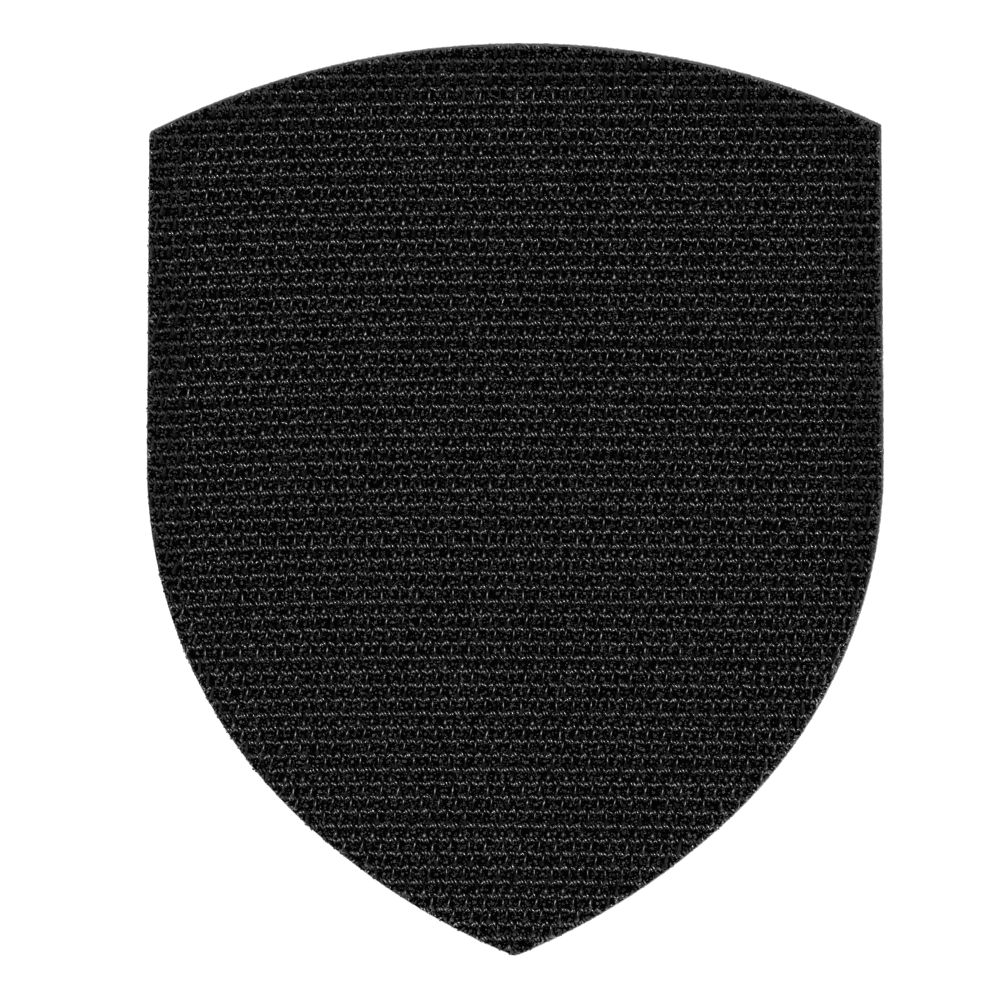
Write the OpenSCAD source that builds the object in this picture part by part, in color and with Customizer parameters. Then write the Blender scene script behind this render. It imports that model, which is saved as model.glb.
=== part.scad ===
// Shield-shaped sleeve patch with a hook back, lying face down with its hooks up.
// X is across the patch, Y runs from the tip to the crown, and Z is up out of the hooks.
// The origin is under the middle of the patch, on the outer face of the front cloth.

/* [Outline] */
// Width at the widest point
patch_w = 70; // [66:0.5:76]
// Height from the top of the crown to the end of the tip
patch_h = 86.7; // [82:0.1:92]
// Radius of the crown's arc
crown_r = 79.1; // [70:0.1:100]
// Distance from the middle of the patch to the crown's highest point
crown_shift = 0.7; // [-2:0.1:2]
// Angle at which each side leans in from its flank to its shoulder
side_lean = 0.4; // [0:0.1:2]

/* [Flanks] */
// Radius of the upper arc of each flank
flank_r = 46.2; // [44:0.1:50]
// Angle that the upper arc turns through below the widest point
flank_turn = 47.3; // [42:0.1:50]
// Radius of the lower arc of each flank
toe_r = 67.6; // [62:0.1:75]

/* [Corners] */
// Radius of the worn shoulder on the left
left_shoulder_r = 0.45; // [0.1:0.05:3]
// Radius of the sharp shoulder on the right
right_shoulder_r = 0.15; // [0.1:0.05:3]
// Radius of the tip
tip_r = 0.5; // [0.1:0.05:3]

/* [Layers] */
// Thickness of the front cloth
front_t = 1; // [1:0.1:3]
// Thickness of the woven ground of the hook tape
ground_t = 1; // [1:0.1:3]
// Height of the hooks above the ground
hook_h = 1.4; // [1:0.1:2.5]
// Gap left between two layers
layer_gap = 0.05; // [0.02:0.01:0.1]

/* [Hidden] */
$fn = 256;

ground_z = front_t + layer_gap;
pile_z = ground_z + ground_t + layer_gap;

// Two curves that run smoothly into each other overlap by this much, so that they cross at one point
blend = 0.005;

// The lower arc of a flank carries on from the upper arc, so both centres and the point
// where the arcs join lie on one line, which slopes down at flank_turn.
tip = [0, tip_r - patch_h / 2];
toe_x = patch_w / 2 - flank_r - (toe_r - flank_r + blend) * cos(flank_turn);
toe = [toe_x, tip.y + sqrt(pow(toe_r - tip_r + blend, 2) - pow(toe_x, 2))];
flank = toe + along(-flank_turn, toe_r - flank_r + blend);
crown = [crown_shift, patch_h / 2 - crown_r];

// How far a cutting shape reaches past the outline
reach = 2 * patch_h;

function along(angle, distance) = distance * [cos(angle), sin(angle)];
function heading(v) = atan2(v.y, v.x);

// Centre of a round shoulder, on the right where side is 1 and on the left where it is -1.
// It lies just inside r from the side line, which leans in from the flank, and from the crown's arc.
function shoulder(side, r) =
    let(
        outward = [side * cos(side_lean), sin(side_lean)],
        upward = [-side * sin(side_lean), cos(side_lean)],
        start = [side * flank.x, flank.y] + (flank_r - r) * outward - crown,
        climb = sqrt(pow(start * upward, 2) - start * start + pow(crown_r - r + blend, 2)) - start * upward
    )
    crown + start + climb * upward;

// Everything to the left of the patch's right edge, from above the shoulder to below the tip
module right_bound() {
    side_foot = flank + along(side_lean, flank_r - blend);
    polygon([
        [-reach, side_foot.y],
        side_foot,
        side_foot + along(90 + side_lean, reach),
        [-reach, side_foot.y + reach]
    ]);
    translate(flank) circle(flank_r);
    intersection() {
        translate(toe) circle(toe_r);
        translate(flank) rotate(-flank_turn) translate([-reach, -2 * reach]) square(2 * reach);
    }
}

// What rounding a corner takes off: the fan from first_angle to last_angle outside the round
module corner_waste(centre, r, first_angle, last_angle) {
    translate(centre) difference() {
        polygon([
            [0, 0],
            along(first_angle, 3 * r),
            along((first_angle + last_angle) / 2, 4 * r),
            along(last_angle, 3 * r)
        ]);
        circle(r);
    }
}

// The outline that all three layers share
module shield() {
    right_shoulder = shoulder(1, right_shoulder_r);
    left_shoulder = shoulder(-1, left_shoulder_r);
    tip_angle = heading(tip - toe);
    difference() {
        intersection() {
            translate(crown) circle(crown_r);
            right_bound();
            mirror([1, 0]) right_bound();
        }
        corner_waste(right_shoulder, right_shoulder_r, side_lean, heading(right_shoulder - crown));
        corner_waste(left_shoulder, left_shoulder_r, heading(left_shoulder - crown), 180 - side_lean);
        corner_waste(tip, tip_r, -180 - tip_angle, tip_angle);
    }
}

module front_cloth() {
    color("dimgray") linear_extrude(front_t) shield();
}

module hook_ground() {
    color([0.08, 0.08, 0.08]) translate([0, 0, ground_z]) linear_extrude(ground_t) shield();
}

module hook_pile() {
    color([0.14, 0.14, 0.14]) translate([0, 0, pile_z]) linear_extrude(hook_h) shield();
}

front_cloth();
hook_ground();
hook_pile();
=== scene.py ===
"""Shield-shaped sleeve patch, lying face down on a pale floor with its woven hook tape up.

Lengths are in millimetres until a mesh is made. X runs across the patch, Y from the tip to the
crown, and Z up out of the hooks, as in the frame.
"""

import math

import bmesh
import bpy
import numpy as np
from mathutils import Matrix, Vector


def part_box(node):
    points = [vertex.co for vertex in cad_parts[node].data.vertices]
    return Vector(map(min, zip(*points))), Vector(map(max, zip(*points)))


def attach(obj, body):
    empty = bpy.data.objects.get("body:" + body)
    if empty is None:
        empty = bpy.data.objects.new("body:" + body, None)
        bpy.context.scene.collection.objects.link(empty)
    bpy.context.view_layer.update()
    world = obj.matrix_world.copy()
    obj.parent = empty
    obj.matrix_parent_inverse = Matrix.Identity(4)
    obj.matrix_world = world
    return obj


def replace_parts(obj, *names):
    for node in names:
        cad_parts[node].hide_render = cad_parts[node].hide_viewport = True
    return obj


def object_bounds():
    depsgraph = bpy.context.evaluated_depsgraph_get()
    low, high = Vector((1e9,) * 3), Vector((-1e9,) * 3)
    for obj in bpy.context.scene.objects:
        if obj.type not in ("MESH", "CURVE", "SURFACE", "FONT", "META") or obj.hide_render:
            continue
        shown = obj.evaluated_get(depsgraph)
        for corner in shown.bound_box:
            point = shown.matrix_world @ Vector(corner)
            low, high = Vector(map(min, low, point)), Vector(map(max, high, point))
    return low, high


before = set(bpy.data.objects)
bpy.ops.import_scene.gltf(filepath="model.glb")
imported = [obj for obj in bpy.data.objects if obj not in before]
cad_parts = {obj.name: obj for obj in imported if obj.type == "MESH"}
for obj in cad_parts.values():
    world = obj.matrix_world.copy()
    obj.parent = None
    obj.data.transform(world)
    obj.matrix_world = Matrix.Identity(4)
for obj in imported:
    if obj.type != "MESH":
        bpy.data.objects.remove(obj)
cad_low, cad_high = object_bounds()

MM = 0.001
rng = np.random.default_rng(7)


# Heights, from the frame

def span(node):
    """The lowest and the highest Z of a node."""
    low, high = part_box(node)
    return low.z / MM, high.z / MM


FRONT_LOW, FRONT_HIGH = span("front_cloth")
GROUND_LOW, GROUND_HIGH = span("hook_ground")
_, HOOK_HIGH = span("hook_pile")


# The weave. One repeat is one hook wide and four ribs high

HOOK_PITCH = 1.673
RIB_PITCH = 1.324
ROWS_PER_REPEAT = 4
# Warp yarns side by side in one hook pitch
YARNS_PER_HOOK = 4
# How far down the middle of a rib lies, in the chart's units
RIB_MIDDLE = 3
# Where the repeat is charted from: its left end on the first rib
CHART_X, CHART_Y = -9.04, 7.535
# Each rib down, the chart moves this far to the left
STEP_LEFT = 0.031
# The ribs sag towards both sides, by this much at the widest point
SAG_LEFT, SAG_RIGHT = 0.6, 0.1
# The ribs near the tip also turn clockwise
RIB_TURN = 0.00018
# The pitch grows from the crown to the tip
RIB_SPREAD = 0.00015
HALF_WIDTH = cad_high.x / MM

# The chart divides a hook pitch across, and a rib pitch down, into this many units
CHART_UNITS = 100
# A strand of yarn is charted by its two ends: across, down, across, down
STRANDS = (
    ((8, -10, 26, 6), (27, -6, 44, 14), (54, 16, 69, -2), (65, -8, 79, 14), (79, -18, 93, 12)),
    ((5, 18, 17, 0), (16, -4, 31, 17), (33, -12, 48, 16), (53, -13, 68, 15), (80, -15, 101, 20)),
    ((40, -11, 55, 7), (58, -7, 74, 20), (79, 16, 91, -3), (89, -8, 103, 15), (107, -17, 121, 11)),
    ((64, -16, 80, 8), (81, -12, 95, 9), (99, -11, 116, 17), (122, 16, 135, -5), (134, -9, 147, 12)),
)
# A hook is charted by its leg, across and down, and by how many degrees it heads left of straight down
HOOKS = ((7, -4, 3), (82, -3, 7), (35, -6, 11), (60, -7, 10))
# A cut stub is charted by its middle
STUBS = ((57, 46), (17, 54), (71, 54), (8, 57))
# The hooks of one row rise or sink alike towards their tips, by this many degrees at each of four Y
TILT_Y = (-30, -4, 8, 20)
TILTS = ((-14, 12, 35, 38), (46, 36, 34, 33), (8, -12, -20, -26), (-4, -7, -6, -4))


def place(row, across, down):
    """X and Y of charted points on a row. The rows count down from the first charted rib."""
    x = CHART_X + across * HOOK_PITCH / CHART_UNITS - row * STEP_LEFT
    y = CHART_Y - (row + down / CHART_UNITS) * RIB_PITCH
    aside = x / HALF_WIDTH
    sag = (SAG_LEFT + SAG_RIGHT) / 2 * aside ** 2 - (SAG_LEFT - SAG_RIGHT) / 2 * aside ** 3
    return x, y - sag + RIB_TURN * x * y - RIB_SPREAD * y ** 2


# The outline, from the frame

# Corners that agree to this many decimals of a millimetre are one
CORNER_DECIMALS = 4


def node_outline(node):
    """The corners of a node's convex outline seen from above, counterclockwise."""
    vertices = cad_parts[node].data.vertices
    points = np.unique([(round(v.co.x / MM, CORNER_DECIMALS), round(v.co.y / MM, CORNER_DECIMALS))
                        for v in vertices], axis=0)
    return points[np.argsort(np.arctan2(points[:, 1], points[:, 0]))]


OUTLINE = node_outline("hook_pile")
# The tape is a little smaller than the front cloth and was laid to its lower left, so the cloth's edge
# shows along the crown and the right side
TAPE_INSET = 0.08
TAPE_SLIP = np.array([-0.11, -0.13])
TAPE_OUTLINE = OUTLINE * (1 - TAPE_INSET / HALF_WIDTH) + TAPE_SLIP


def depth(points, outline):
    """How far inside a convex outline each point lies, negative outside."""
    along = np.roll(outline, -1, 0) - outline
    inward = np.stack([-along[:, 1], along[:, 0]], 1) / np.linalg.norm(along, axis=1)[:, None]
    return np.min(points @ inward.T - np.sum(outline * inward, 1), axis=1)


# The tape was crushed along its edge as it was cut: this far in along the crown and the sides, and this
# far in near the tip
CRUSH_REACH, TIP_CRUSH_REACH = 4.8, 1.8
# The Y where this margin starts to narrow, and where it stops
CRUSH_NARROWS, CRUSH_NARROWED = 0, -12
# How wide the innermost part of the margin is, in which the crush fades out
CRUSH_FADE = 2.4
# The share of the most crushed strands that lost their gloss
CRUSH_DULLS = 0.85


def crushed(points):
    """How strongly the tape is crushed at each point, from 0 to 1."""
    reach = np.interp(points[:, 1], (CRUSH_NARROWED, CRUSH_NARROWS), (TIP_CRUSH_REACH, CRUSH_REACH))
    return np.clip((reach - depth(points, TAPE_OUTLINE)) / CRUSH_FADE, 0, 1)


def nearest(points, outline):
    """The point of an outline that is nearest to each point."""
    along = np.roll(outline, -1, 0) - outline
    share = np.einsum("ij,kij->ki", along, points[:, None] - outline) / np.sum(along ** 2, 1)
    on_edges = outline + np.clip(share, 0, 1)[..., None] * along
    best = np.argmin(np.sum((on_edges - points[:, None]) ** 2, 2), 1)
    return on_edges[np.arange(len(points)), best]


# Mesh helpers

def closed_mesh(name, corners, faces):
    """A smooth mesh from corners in millimetres."""
    mesh = bpy.data.meshes.new(name)
    mesh.from_pydata((np.asarray(corners).reshape(-1, 3) * MM).tolist(), [], faces)
    mesh.update()
    mesh.shade_smooth()
    return mesh


def add_piece(mesh, node, slot, *materials):
    """A piece that rides on the frame's one body and stands for one of its nodes."""
    for material in materials:
        mesh.materials.append(material)
    piece = bpy.data.objects.new(mesh.name, mesh)
    bpy.context.scene.collection.objects.link(piece)
    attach(piece, "root")
    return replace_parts(piece, node)


def tube_rings(paths, radii, sides, reference):
    """Corners of round tubes: paths is (tube, station, 3) and radii (tube, station).

    No tube may run along the reference direction."""
    tangents = np.gradient(paths, axis=1)
    tangents /= np.linalg.norm(tangents, axis=2, keepdims=True)
    sideways = np.cross(tangents, reference)
    sideways /= np.linalg.norm(sideways, axis=2, keepdims=True)
    outward = np.cross(sideways, tangents)
    angles = 2 * math.pi * (np.arange(sides) + 0.5) / sides
    ring = np.cos(angles)[:, None] * sideways[:, :, None] + np.sin(angles)[:, None] * outward[:, :, None]
    return paths[:, :, None] + radii[:, :, None, None] * ring


def tube_faces(count, stations, sides):
    """Faces of that many separate tubes, each closed by a flat face at both ends."""
    faces = []
    wall = [(a, b, b + sides, a + sides)
            for s in range(stations - 1)
            for a, b in ((s * sides + k, s * sides + (k + 1) % sides) for k in range(sides))]
    first_end = tuple(range(sides - 1, -1, -1))
    last_end = tuple((stations - 1) * sides + k for k in range(sides))
    for t in range(count):
        start = t * stations * sides
        for face in (*wall, first_end, last_end):
            faces.append(tuple(start + v for v in face))
    return faces


# How many rows and hooks more than the patch needs are laid out on each side, before they are cut off
SPARE_REPEATS = 2


def chart_reach():
    """How many rows above and below the chart, and hooks to each side, cover the patch."""
    rows_up = math.ceil((cad_high.y / MM - CHART_Y) / RIB_PITCH) + SPARE_REPEATS
    rows_down = math.ceil((CHART_Y - cad_low.y / MM) / RIB_PITCH) + SPARE_REPEATS
    hooks_each_way = math.ceil((HALF_WIDTH + abs(CHART_X)) / HOOK_PITCH) + SPARE_REPEATS
    return rows_up, rows_down, hooks_each_way


def repeats(kind):
    """Every (row, repeat number) near the patch of one kind of row."""
    rows_up, rows_down, hooks_each_way = chart_reach()
    return [(row, hook)
            for row in range(-rows_up, rows_down) if row % ROWS_PER_REPEAT == kind
            for hook in range(-hooks_each_way, hooks_each_way + 1)]


# Materials

# Most of a noise lies between these two values
NOISE_RANGE = (0.35, 0.65)


class Surface:
    """A material in the making: its shader, and noise that the shader's inputs can follow."""

    def __init__(self, name, roughness, ior, specular=0.5):
        self.material = bpy.data.materials.new(name)
        self.material.use_nodes = True
        self.nodes = self.material.node_tree.nodes
        self.links = self.material.node_tree.links
        self.shader = self.nodes["Principled BSDF"]
        self.shader.inputs["Roughness"].default_value = roughness
        self.shader.inputs["IOR"].default_value = ior
        self.shader.inputs["Specular IOR Level"].default_value = specular
        self.where = self.nodes.new("ShaderNodeTexCoord").outputs["Object"]

    def noise(self, grain, stretch=(1, 1, 1), detail=2):
        """Noise from 0 to 1 with spots of about that many millimetres, drawn out along the axes."""
        mapping = self.nodes.new("ShaderNodeMapping")
        mapping.inputs["Scale"].default_value = [1 / s for s in stretch]
        noise = self.nodes.new("ShaderNodeTexNoise")
        noise.inputs["Scale"].default_value = 1 / (grain * MM)
        noise.inputs["Detail"].default_value = detail
        self.links.new(self.where, mapping.inputs["Vector"])
        self.links.new(mapping.outputs["Vector"], noise.inputs["Vector"])
        return noise.outputs["Fac"]

    def loops(self, pitch, radius, width):
        """Nearly 1 on small rings scattered at that pitch, fading to 0 beside them. All in millimetres."""
        cells = self.nodes.new("ShaderNodeTexVoronoi")
        cells.inputs["Scale"].default_value = 1 / (pitch * MM)
        self.links.new(self.where, cells.inputs["Vector"])
        beside = self.calculate("SUBTRACT", cells.outputs["Distance"], radius / pitch)
        away = self.calculate("ABSOLUTE", beside)
        return self.calculate("SUBTRACT", 1, self.calculate("DIVIDE", away, width / pitch))

    def calculate(self, operation, *terms):
        """The result of a sum in the shader, where each term is a number or another result."""
        step = self.nodes.new("ShaderNodeMath")
        step.operation = operation
        for socket, term in zip(step.inputs, terms):
            if isinstance(term, (int, float)):
                socket.default_value = term
            else:
                self.links.new(term, socket)
        return step.outputs["Value"]

    def follow(self, name, value, start, end, within=NOISE_RANGE):
        """Makes a shader input go from start to end while a value goes through a range."""
        spread = self.nodes.new("ShaderNodeMapRange")
        spread.inputs["From Min"].default_value, spread.inputs["From Max"].default_value = within
        spread.inputs["To Min"].default_value = start
        spread.inputs["To Max"].default_value = end
        self.links.new(value, spread.inputs["Value"])
        self.links.new(spread.outputs["Result"], self.shader.inputs[name])

    def bump(self, value, height, strength):
        """Fine relief of that many millimetres from a value."""
        bump = self.nodes.new("ShaderNodeBump")
        bump.inputs["Distance"].default_value = height * MM
        bump.inputs["Strength"].default_value = strength
        self.links.new(value, bump.inputs["Height"])
        self.links.new(bump.outputs["Normal"], self.shader.inputs["Normal"])


def yarn_material():
    """Glossy multifilament. Some floats lie tighter than others and shine more."""
    surface = Surface("black_yarn", roughness=0.4, ior=1.7, specular=1)
    surface.follow("Base Color", surface.noise(grain=0.3), start=0.006, end=0.05)
    surface.follow("Roughness", surface.noise(grain=0.45), start=0.16, end=0.42)
    surface.bump(surface.noise(grain=0.07, stretch=(1, 2, 1)), height=0.02, strength=0.3)
    return surface.material


def crushed_yarn_material():
    """Multifilament that lost its gloss when it was crushed."""
    surface = Surface("crushed_yarn", roughness=0.6, ior=1.5, specular=0.4)
    surface.follow("Base Color", surface.noise(grain=0.3), start=0.004, end=0.03)
    surface.bump(surface.noise(grain=0.07, stretch=(1, 2, 1)), height=0.02, strength=0.3)
    return surface.material


def filament_material():
    """Smooth monofilament."""
    surface = Surface("black_monofilament", roughness=0.26, ior=1.5, specular=0.5)
    surface.follow("Base Color", surface.noise(grain=2), start=0.0003, end=0.002)
    surface.bump(surface.noise(grain=0.12), height=0.03, strength=0.55)
    return surface.material


def cut_end_material():
    """A hook's end, roughened and paler where the shears went through."""
    surface = Surface("cut_filament", roughness=0.36, ior=1.55, specular=0.55)
    surface.follow("Base Color", surface.noise(grain=0.5), start=0.0005, end=0.005)
    surface.bump(surface.noise(grain=0.14), height=0.05, strength=1)
    return surface.material


def crushed_filament_material():
    """Monofilament that was scuffed all over when it was crushed."""
    surface = Surface("crushed_filament", roughness=0.6, ior=1.5, specular=0.12)
    surface.follow("Base Color", surface.noise(grain=0.3), start=0.001, end=0.008)
    surface.bump(surface.noise(grain=0.12), height=0.03, strength=0.5)
    return surface.material


def stub_material():
    """The dull ends of the legs that the shears left."""
    surface = Surface("sheared_stub", roughness=0.4, ior=1.5, specular=0.26)
    surface.follow("Base Color", surface.noise(grain=0.3), start=0.001, end=0.008)
    surface.bump(surface.noise(grain=0.1), height=0.02, strength=0.4)
    return surface.material


def ground_material():
    """Dull black yarn. The fine loops on its surface carry painted highlights: pale colour that stands in
    for their glints.
    """
    surface = Surface("woven_ground", roughness=0.9, ior=1.5, specular=0.02)
    rings = surface.loops(pitch=0.22, radius=0.055, width=0.032)
    loops = surface.calculate("MULTIPLY", rings, surface.noise(grain=0.2, detail=1))
    # Painted highlight: the loops' pale colour stands in for the glints of their filaments
    surface.follow("Base Color", loops, start=0.0001, end=0.135, within=(0.4, 0.5))
    surface.bump(loops, height=0.08, strength=0.8)
    return surface.material


def front_material():
    """Plain dark cloth."""
    surface = Surface("front_cloth", roughness=0.75, ior=1.5)
    surface.follow("Base Color", surface.noise(grain=1.4), start=0.03, end=0.05)
    surface.bump(surface.noise(grain=0.14), height=0.05, strength=0.6)
    return surface.material


def fused_edge_material():
    """Backing that the hot cut melted into a pale, uneven seal."""
    surface = Surface("fused_edge", roughness=0.4, ior=1.5)
    surface.follow("Base Color", surface.noise(grain=0.3, stretch=(1, 1, 3)), start=0.12, end=0.5)
    surface.bump(surface.noise(grain=0.2, stretch=(1, 1, 3)), height=0.05, strength=0.7)
    return surface.material


def floor_material():
    """Nearly white board."""
    surface = Surface("pale_floor", roughness=0.9, ior=1.4)
    surface.follow("Base Color", surface.noise(grain=125), start=0.86, end=0.88)
    surface.bump(surface.noise(grain=2.5), height=0.02, strength=0.2)
    return surface.material


# The two sheets

# Corners nearer to each other than this are joined, and shorter edges than this are taken out
JOIN_DISTANCE, SHORTEST_EDGE = 0.002, 0.0005


def clipped_grid(x, y, z, outline, edge_z):
    """A relief over a grid, cut to an outline. Its open edge lies on the outline, at edge_z."""
    points = np.stack([x, y], 2).reshape(-1, 2)
    heights = z.flatten()
    outside = depth(points, outline) < 0
    number = np.arange(x.size).reshape(x.shape)
    quads = np.stack([number[:-1, :-1], number[:-1, 1:], number[1:, 1:], number[1:, :-1]], 2).reshape(-1, 4)
    quads = quads[~outside[quads].all(1)]
    used = np.unique(quads)
    moved = used[outside[used]]
    points[moved] = nearest(points[moved], outline)
    heights[moved] = edge_z

    grid = bmesh.new()
    corners = {v: grid.verts.new((*points[v], heights[v])) for v in used.tolist()}
    for quad in quads.tolist():
        grid.faces.new([corners[v] for v in quad])
    bmesh.ops.remove_doubles(grid, verts=grid.verts, dist=JOIN_DISTANCE)
    bmesh.ops.dissolve_degenerate(grid, edges=grid.edges, dist=SHORTEST_EDGE)
    return grid


def close_sheet(name, grid, middle, rings):
    """Closes a clipped grid with rings around its edge and one flat face.

    Each ring is (how far it is drawn in from the one before it, towards the middle, Z, material)."""
    edge = [e for e in grid.edges if e.is_boundary]
    for drawn_in, z, material in rings:
        grown = bmesh.ops.extrude_edge_only(grid, edges=edge)["geom"]
        for part in grown:
            if isinstance(part, bmesh.types.BMVert):
                outward = (part.co.xy - middle).normalized()
                part.co = (*(part.co.xy - outward * drawn_in), z)
            if isinstance(part, bmesh.types.BMFace):
                part.material_index = material
        edge = [part for part in grown if isinstance(part, bmesh.types.BMEdge) and part.is_boundary]
    bmesh.ops.holes_fill(grid, edges=edge)
    bmesh.ops.recalc_face_normals(grid, faces=grid.faces)
    for vertex in grid.verts:
        vertex.co *= MM
    mesh = bpy.data.meshes.new(name)
    grid.to_mesh(mesh)
    grid.free()
    for polygon in mesh.polygons:
        polygon.use_smooth = len(polygon.vertices) <= 4
    return mesh


# The rib's cross-section: share of the pitch down from the rib's middle, and share of the rib's height
RIB_PROFILE = ((-0.2, 0.4), (0, 1), (0.2, 0.4), (0.5, 0))
RIB_HEIGHT = 0.42
WARP_HEIGHT = 0.12
GROUND_UNEVEN = 0.03
# The bevel around the lower face: how high, and how far in
GROUND_BEVEL_HEIGHT, GROUND_BEVEL_WIDTH = 0.1, 0.05


def ground_sheet():
    """The tape's woven ground: a rib under each row of strands, and warp yarns that dip between the ribs."""
    rows_up, rows_down, hooks_each_way = chart_reach()
    offsets, heights = np.array(RIB_PROFILE).T
    rows = np.arange(-rows_up, rows_down)
    row = (rows[:, None] + offsets).reshape(-1, 1)
    rib = np.tile(heights, len(rows))[:, None]
    columns_per_hook = 2 * YARNS_PER_HOOK
    columns = np.arange(-hooks_each_way * columns_per_hook, hooks_each_way * columns_per_hook)
    x, y = place(row, columns * CHART_UNITS / columns_per_hook, RIB_MIDDLE)
    warp = np.where(columns % 2 == 0, WARP_HEIGHT, 0) * (1 - rib)
    relief = GROUND_HIGH - RIB_HEIGHT * (1 - rib) + warp - GROUND_UNEVEN * rng.random(x.shape)
    grid = clipped_grid(x, y, relief, TAPE_OUTLINE, GROUND_HIGH - RIB_HEIGHT)
    rings = [(0, GROUND_LOW + GROUND_BEVEL_HEIGHT, 0), (GROUND_BEVEL_WIDTH, GROUND_LOW, 0)]
    mesh = close_sheet("tape_ground", grid, Vector(TAPE_OUTLINE.mean(0)), rings)
    return add_piece(mesh, "hook_ground", "hook_ground", ground_material())


# The pitch of the front cloth's yarns, and how far its face swings up and down with them
FRONT_WEAVE = 1.2
FRONT_RELIEF = 0.03
# How far the front's fused edge bulges out, and how far the bulge stays from the lower and the upper face
EDGE_BULGE = 0.09
BULGE_ABOVE_FLOOR, BULGE_BELOW_TOP = 0.2, 0.15
# How wide the rim is that the upper face has around its flat middle
EDGE_SHELF = 0.4
# The order of the front's materials
CLOTH, FUSED_EDGE = range(2)


def front_sheet():
    """The front cloth: a plain weave on the face that lies down, with a fused cut edge."""
    low, high = OUTLINE.min(0) - FRONT_WEAVE, OUTLINE.max(0) + FRONT_WEAVE
    x, y = np.meshgrid(*(np.arange(low[axis], high[axis], FRONT_WEAVE / 2) for axis in (0, 1)))
    over = np.sin(math.pi * x / FRONT_WEAVE) * np.sin(math.pi * y / FRONT_WEAVE)
    grid = clipped_grid(x, y, FRONT_LOW + FRONT_RELIEF * (1 - over), OUTLINE, FRONT_LOW + 2 * FRONT_RELIEF)
    rings = [(-EDGE_BULGE, FRONT_LOW + BULGE_ABOVE_FLOOR, FUSED_EDGE),
             (0, FRONT_HIGH - BULGE_BELOW_TOP, FUSED_EDGE),
             (EDGE_BULGE, FRONT_HIGH, FUSED_EDGE),
             (EDGE_SHELF, FRONT_HIGH, CLOTH)]
    mesh = close_sheet("front_sheet", grid, Vector(OUTLINE.mean(0)), rings)
    return add_piece(mesh, "front_cloth", "front_cloth", front_material(), fused_edge_material())


# Strands, hooks and stubs

STRAND_RADIUS = 0.078
STRAND_SIDES = 5
# A strand's stations: share of its charted length, height above the rib, and share of its radius
STRAND_PROFILE = ((-0.12, -0.13, 0.35), (0.15, 0.02, 1), (0.85, 0.02, 1), (1.12, -0.13, 0.35))
# How unevenly the strands lie, in every direction
STRAND_PLAY = 0.033
# How much one end of a strand lies higher than the other, and how unlike the radii are, as a share
STRAND_RISE = 0.015
STRAND_UNEVEN = 0.15
# How much wider, as a share, and how much lower a crushed strand is
CRUSH_WIDENS, CRUSH_LOWERS = 0.25, 0.03


def floats(name, starts, reaches, lift, materials):
    """Short spindles of yarn that come up out of the weave and go back down, one from each start."""
    share, height, width = np.array(STRAND_PROFILE).T
    flat = starts[:, None] + share[:, None] * reaches[:, None]
    count = len(starts)
    crush = crushed(starts)
    lifts = (lift - CRUSH_LOWERS * crush)[:, None] + share * rng.normal(0, STRAND_RISE, (count, 1))
    paths = np.concatenate([flat, (lifts + height)[..., None]], 2)
    radii = STRAND_RADIUS * (1 + CRUSH_WIDENS * crush + STRAND_UNEVEN * rng.normal(size=count))
    mesh = closed_mesh(name, tube_rings(paths, radii[:, None] * width, STRAND_SIDES, (0, 0, 1)),
                       tube_faces(count, len(share), STRAND_SIDES))
    # Only the middle is smooth, so that it shines along its whole length
    bent_down = [False] * STRAND_SIDES
    smooth = bent_down + [True] * STRAND_SIDES + bent_down + [False, False]
    mesh.polygons.foreach_set("use_smooth", smooth * count)
    dull = np.repeat(rng.random(count) < CRUSH_DULLS * crush, len(smooth))
    mesh.polygons.foreach_set("material_index", dull.astype(int))
    return add_piece(mesh, "hook_ground", "hook_ground", *materials)


def strands(kind, materials):
    """The yarn floats that cross the ribs of one kind of row."""
    ends = np.array([(*place(row, x1 + CHART_UNITS * hook, y1), *place(row, x2 + CHART_UNITS * hook, y2))
                     for row, hook in repeats(kind) for x1, y1, x2, y2 in STRANDS[kind]])
    ends += rng.normal(0, STRAND_PLAY, ends.shape)
    starts, reaches = ends[:, :2], ends[:, 2:] - ends[:, :2]
    inside = depth(starts + reaches / 2, TAPE_OUTLINE) > STRAND_RADIUS
    lift = GROUND_HIGH + STRAND_PLAY * (1 + rng.normal(size=inside.sum()))
    return floats(f"rib_yarns_{kind + 1}", starts[inside], reaches[inside], lift, materials)


FRINGE_PITCH = 0.3
FRINGE_LENGTH = 0.3
# How far a yarn end turns either way from straight out, in radians
FRINGE_TURN = 1.2
# How far inside the cut edge a yarn end has its tip, how much that varies, and how unlike the lengths are,
# as a share
FRINGE_DEPTH, FRINGE_PLAY, FRINGE_UNEVEN = 0.01, 0.06, 0.2
# The least and the most that a yarn end lies below the top of the ribs
FRINGE_HIGH, FRINGE_LOW = 0.05, 0.4
# How far behind its tip a yarn end starts, as a share of its reach
FRINGE_ROOT = 1.1


def edge_points(spacing):
    """Evenly spaced points along the tape's edge, and the direction out of it at each."""
    along = np.roll(TAPE_OUTLINE, -1, 0) - TAPE_OUTLINE
    lengths = np.linalg.norm(along, axis=1)
    ends = np.cumsum(lengths)
    stops = np.arange(0, ends[-1], spacing)
    side = np.searchsorted(ends, stops, side="right")
    share = (stops - ends[side]) / lengths[side] + 1
    outward = np.stack([along[:, 1], -along[:, 0]], 1) / lengths[:, None]
    return TAPE_OUTLINE[side] + share[:, None] * along[side], outward[side]


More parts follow.
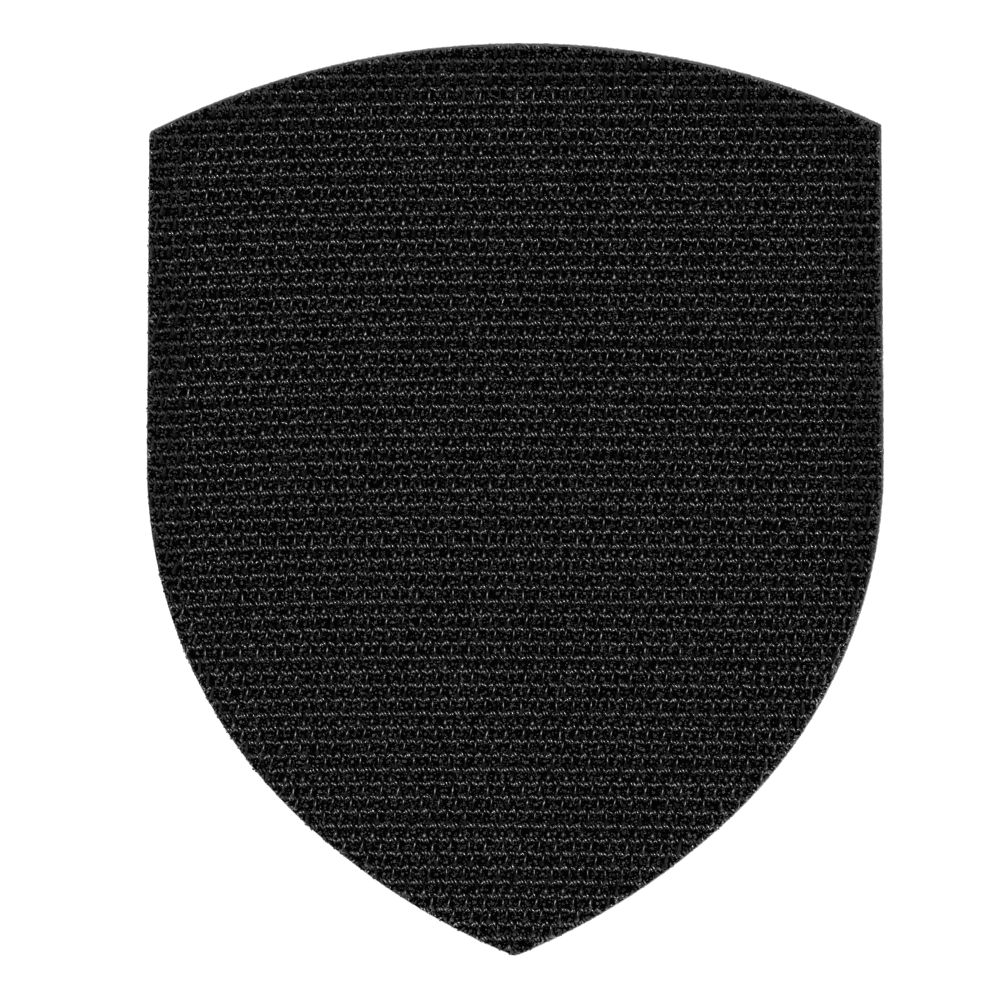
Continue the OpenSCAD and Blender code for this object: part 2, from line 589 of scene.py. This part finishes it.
def fringe(materials):
    """Yarn ends that the cut left all along the edge."""
    points, outward = edge_points(FRINGE_PITCH)
    count = len(points)
    turn = rng.uniform(-FRINGE_TURN, FRINGE_TURN, (count, 1))
    heading = np.cos(turn) * outward + np.sin(turn) * outward[:, ::-1] * (1, -1)
    tips = points + outward * rng.normal(-FRINGE_DEPTH, FRINGE_PLAY, (count, 1))
    reaches = heading * FRINGE_LENGTH * (1 + FRINGE_UNEVEN * rng.normal(size=(count, 1)))
    lift = GROUND_HIGH - rng.uniform(FRINGE_HIGH, FRINGE_LOW, count)
    return floats("cut_fringe", tips - FRINGE_ROOT * reaches, reaches, lift, materials)


# No foot stands nearer to the cut edge than this
EDGE_MARGIN = 0.05
HOOK_RADIUS = 0.1
HOOK_SIDES = 6
# How unevenly the hooks stand: their feet in millimetres, turns in degrees, and reach as a share
FOOT_PLAY, TURN_PLAY, REACH_PLAY = 0.025, 4, 0.05
# The arch after its leg: length, slope in degrees, share of the hook's tilt that is added to it, and share
# of the radius at its far end
ARCH = ((0.12, 62, 0, 1), (0.14, 36, 0, 1), (0.2, 17, 1, 1), (0.24, 3, 1, 1.5), (0.38, -5, 1, 1.05),
        (0.2, -52, 1, 2.2), (0.13, -58, 1, 2.2), (0.12, -72, 0, 1.2))
# How many stretches of the arch, from the tip, are roughened by the cut
CUT_STRETCHES = 3
# The cut took a hook if this station of its flare would stand nearer to the edge than this
FLARE_STATION, FLARE_MARGIN = -3, 0.12
# Stations with a larger share of the radius than this belong to a swelling, which varies from hook to hook
SWOLLEN, SWELLING_PLAY = 1.2, 0.2
# How steep a leg is, and how unlike the tilts of neighbouring hooks are, in degrees
LEG_SLOPE = 86
TILT_PLAY = 3
# How far the highest part of a hook stays below the top of the pile, and how much that varies
TOP_GAP, TOP_PLAY = 0.08, 0.03
# The tilt of a crushed hook, which is bent over
CRUSH_TILT = -42
# The order of a hook's materials
FILAMENT, CUT_END, CRUSHED_FILAMENT = range(3)


def hook_paths(starts, turns, tilts, reach, tops):
    """Centre lines of hooks, from their feet in the ground up the leg, over the arch and down to the tip."""
    length, slope, share, _ = np.array(ARCH).T
    slopes = np.radians(slope + share * tilts[:, None])
    along = np.cumsum(length * np.cos(slopes), 1) * reach[:, None]
    up = np.cumsum(length * np.sin(slopes), 1)
    leg_tops = (tops - up.max(1))[:, None]
    feet = np.full_like(leg_tops, GROUND_HIGH - RIB_HEIGHT)
    foot_along = (feet - leg_tops) / math.tan(math.radians(LEG_SLOPE))
    along = np.concatenate([foot_along, np.zeros_like(leg_tops), along], 1)
    up = np.concatenate([feet, leg_tops, leg_tops + up], 1)
    heading = np.stack([-np.sin(turns), -np.cos(turns)], 1)
    return np.concatenate([starts[:, None] + along[..., None] * heading[:, None], up[..., None]], 2)


def hooks(kind, materials):
    """The hooks of one kind of row, and the feet of those that were cut through at the edge."""
    across, down, turn = HOOKS[kind]
    starts = np.array([place(row, across + CHART_UNITS * hook, down) for row, hook in repeats(kind)])
    starts += rng.normal(0, FOOT_PLAY, starts.shape)
    starts = starts[depth(starts, TAPE_OUTLINE) > EDGE_MARGIN]
    count = len(starts)
    turns = np.radians(turn + rng.normal(0, TURN_PLAY, count))
    tilts = np.interp(starts[:, 1], TILT_Y, TILTS[kind])
    crush = crushed(starts)
    tilts += crush * (CRUSH_TILT - tilts) + rng.normal(0, TILT_PLAY, count)
    tops = HOOK_HIGH - HOOK_RADIUS - TOP_GAP + rng.normal(0, TOP_PLAY, count)
    paths = hook_paths(starts, turns, tilts, 1 + rng.normal(0, REACH_PLAY, count), tops)
    whole = depth(paths[:, FLARE_STATION, :2], TAPE_OUTLINE) > FLARE_MARGIN
    width = np.array([1, 1, *(share for *_, share in ARCH)])
    swelling = 1 + rng.normal(0, SWELLING_PLAY, (count, 1)) * (width > SWOLLEN)
    radii = HOOK_RADIUS * width * swelling
    mesh = closed_mesh(f"hooks_{kind + 1}", tube_rings(paths[whole], radii[whole], HOOK_SIDES, (1, 0, 0)),
                       tube_faces(whole.sum(), len(width), HOOK_SIDES))
    smooth, rough = (len(width) - 1 - CUT_STRETCHES) * HOOK_SIDES, CUT_STRETCHES * HOOK_SIDES
    sound_hook = [FILAMENT] * smooth + [CUT_END] * rough + [FILAMENT, CUT_END]
    dull_hook = [CRUSHED_FILAMENT] * len(sound_hook)
    dull = rng.random(whole.sum()) < crush[whole]
    mesh.polygons.foreach_set("material_index", np.where(dull[:, None], dull_hook, sound_hook).ravel())
    return add_piece(mesh, "hook_pile", "hooks", *materials), starts[~whole]


STUB_RADIUS = 0.12
STUB_SIDES = 5
# A stub's stations: how far below its top, and share of its radius. The end is hollow inside a flat rim
STUB_PROFILE = ((0.7, 0.85), (0, 1), (0, 0.78), (0.4, 0.3))
STUB_HEIGHT = 0.25
# How unevenly the stubs stand: their places, their heights, and how steep their slant is
STUB_PLAY, STUB_HEIGHT_PLAY, STUB_SLANT = 0.05, 0.1, 0.12


def stubs(cut_feet, material):
    """The short legs that are left where loops were cut."""
    charted = [place(row, across + CHART_UNITS * hook, down)
               for kind, (across, down) in enumerate(STUBS) for row, hook in repeats(kind)]
    places = np.concatenate([charted, *cut_feet])
    places += rng.normal(0, STUB_PLAY, places.shape)
    places = places[depth(places, TAPE_OUTLINE) > EDGE_MARGIN]
    count = len(places)
    below, share = np.array(STUB_PROFILE).T
    tops = GROUND_HIGH + STUB_HEIGHT + rng.normal(0, STUB_HEIGHT_PLAY, (count, 1))
    slant = rng.normal(0, STUB_SLANT, (count, 2))
    flat = places[:, None] - below[:, None] * slant[:, None]
    centres = np.concatenate([flat, (tops - below)[..., None]], 2)
    angles = 2 * math.pi * (np.arange(STUB_SIDES) + rng.random((count, 1))) / STUB_SIDES
    ring = np.stack([np.cos(angles), np.sin(angles)], 2)
    climb = ring @ slant[..., None]
    ring = np.concatenate([ring, climb], 2)
    rings = centres[:, :, None] + (STUB_RADIUS * share)[:, None, None] * ring[:, None]
    mesh = closed_mesh("cut_stubs", rings, tube_faces(count, len(share), STUB_SIDES))
    mesh.shade_flat()
    return add_piece(mesh, "hook_pile", "hooks", material)


# The room

# The picture is this many pixels wide and high
PIXELS = 1000
MM_PER_PIXEL = 0.09505
# The pixel that the frame's origin falls on
ORIGIN_PIXEL = (515.5, 499.25)
CAMERA_HEIGHT = 1500
SENSOR_WIDTH = 36
FLOOR_HALF_WIDTH = 4000
# Where each light hangs, its size and its power in watts
SOFT_LIGHT = {"place_mm": (0, 60, 900), "size": 450, "watts": 15}
NEAR_LIGHT = {"place_mm": (0, -10, 420), "size": 60, "watts": 0.6}
ROOM_BRIGHTNESS = 0.12


def add_floor():
    """A plain square that the patch lies on."""
    mesh = bpy.data.meshes.new("floor")
    corners = [(x * FLOOR_HALF_WIDTH * MM, y * FLOOR_HALF_WIDTH * MM, 0)
               for x, y in ((-1, -1), (1, -1), (1, 1), (-1, 1))]
    mesh.from_pydata(corners, [], [(0, 1, 2, 3)])
    mesh.materials.append(floor_material())
    floor = bpy.data.objects.new("floor", mesh)
    bpy.context.scene.collection.objects.link(floor)


def add_camera():
    """Straight above, far enough for the hooks to show no parallax."""
    data = bpy.data.cameras.new("camera")
    data.sensor_width = SENSOR_WIDTH
    data.lens = data.sensor_width * CAMERA_HEIGHT / (PIXELS * MM_PER_PIXEL)
    camera = bpy.data.objects.new("camera", data)
    x = (PIXELS / 2 - ORIGIN_PIXEL[0]) * MM_PER_PIXEL
    y = (ORIGIN_PIXEL[1] - PIXELS / 2) * MM_PER_PIXEL
    camera.location = (x * MM, y * MM, (CAMERA_HEIGHT + GROUND_HIGH) * MM)
    bpy.context.scene.collection.objects.link(camera)
    bpy.context.scene.camera = camera


def add_light(name, place_mm, size, watts):
    """A square soft light that faces the middle of the patch."""
    data = bpy.data.lights.new(name, "AREA")
    data.size = size * MM
    data.energy = watts
    light = bpy.data.objects.new(name, data)
    light.location = [c * MM for c in place_mm]
    light.rotation_euler = (-light.location).to_track_quat("-Z", "Y").to_euler()
    bpy.context.scene.collection.objects.link(light)


def add_lights():
    """A broad light and a small one over the patch, in an evenly lit room."""
    add_light("soft_light", **SOFT_LIGHT)
    add_light("near_light", **NEAR_LIGHT)
    world = bpy.data.worlds.new("room")
    world.use_nodes = True
    world.node_tree.nodes["Background"].inputs["Color"].default_value = (1, 1, 1, 1)
    world.node_tree.nodes["Background"].inputs["Strength"].default_value = ROOM_BRIGHTNESS
    bpy.context.scene.world = world
    bpy.context.scene.view_settings.view_transform = "Standard"


# All of it together


def build():
    """The whole patch and the room around it."""
    front = front_sheet()
    ground = ground_sheet()
    yarn = yarn_material(), crushed_yarn_material()
    filament = filament_material(), cut_end_material(), crushed_filament_material()
    yarns = [strands(kind, yarn) for kind in range(ROWS_PER_REPEAT)]
    yarns.append(fringe(yarn))
    pile, cut_feet = zip(*(hooks(kind, filament) for kind in range(ROWS_PER_REPEAT)))
    cut_ends = stubs(cut_feet, stub_material())
    add_floor()
    add_camera()
    add_lights()


build()
